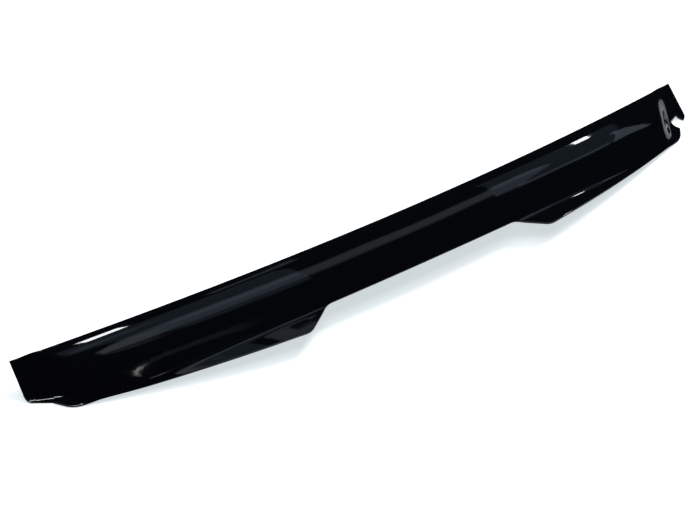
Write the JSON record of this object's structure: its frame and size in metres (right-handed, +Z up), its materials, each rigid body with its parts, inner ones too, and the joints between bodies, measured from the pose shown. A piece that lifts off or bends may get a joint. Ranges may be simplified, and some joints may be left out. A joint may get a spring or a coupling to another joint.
{
  "type": "roof spoiler",
  "caption": "Long, thin gloss black moulding that trims the top of a car's tailgate: a bonding land in front, rear lobes beside a recess, and a low tab at each end.",
  "frame": {"origin": "centre of the bounding box's base, on the surface that the moulding lies on", "axes": "+X along the moulding, from the end with the closed notch to the end with the open one, +Y towards its front edge, +Z up"},
  "size_m": [1.1524, 0.1652, 0.0635],
  "materials": {
    "gloss_black": "gloss"
  },
  "bodies": {
    "root": {"spoiler_moulding": "gloss_black"}
  },
  "joints": []
}
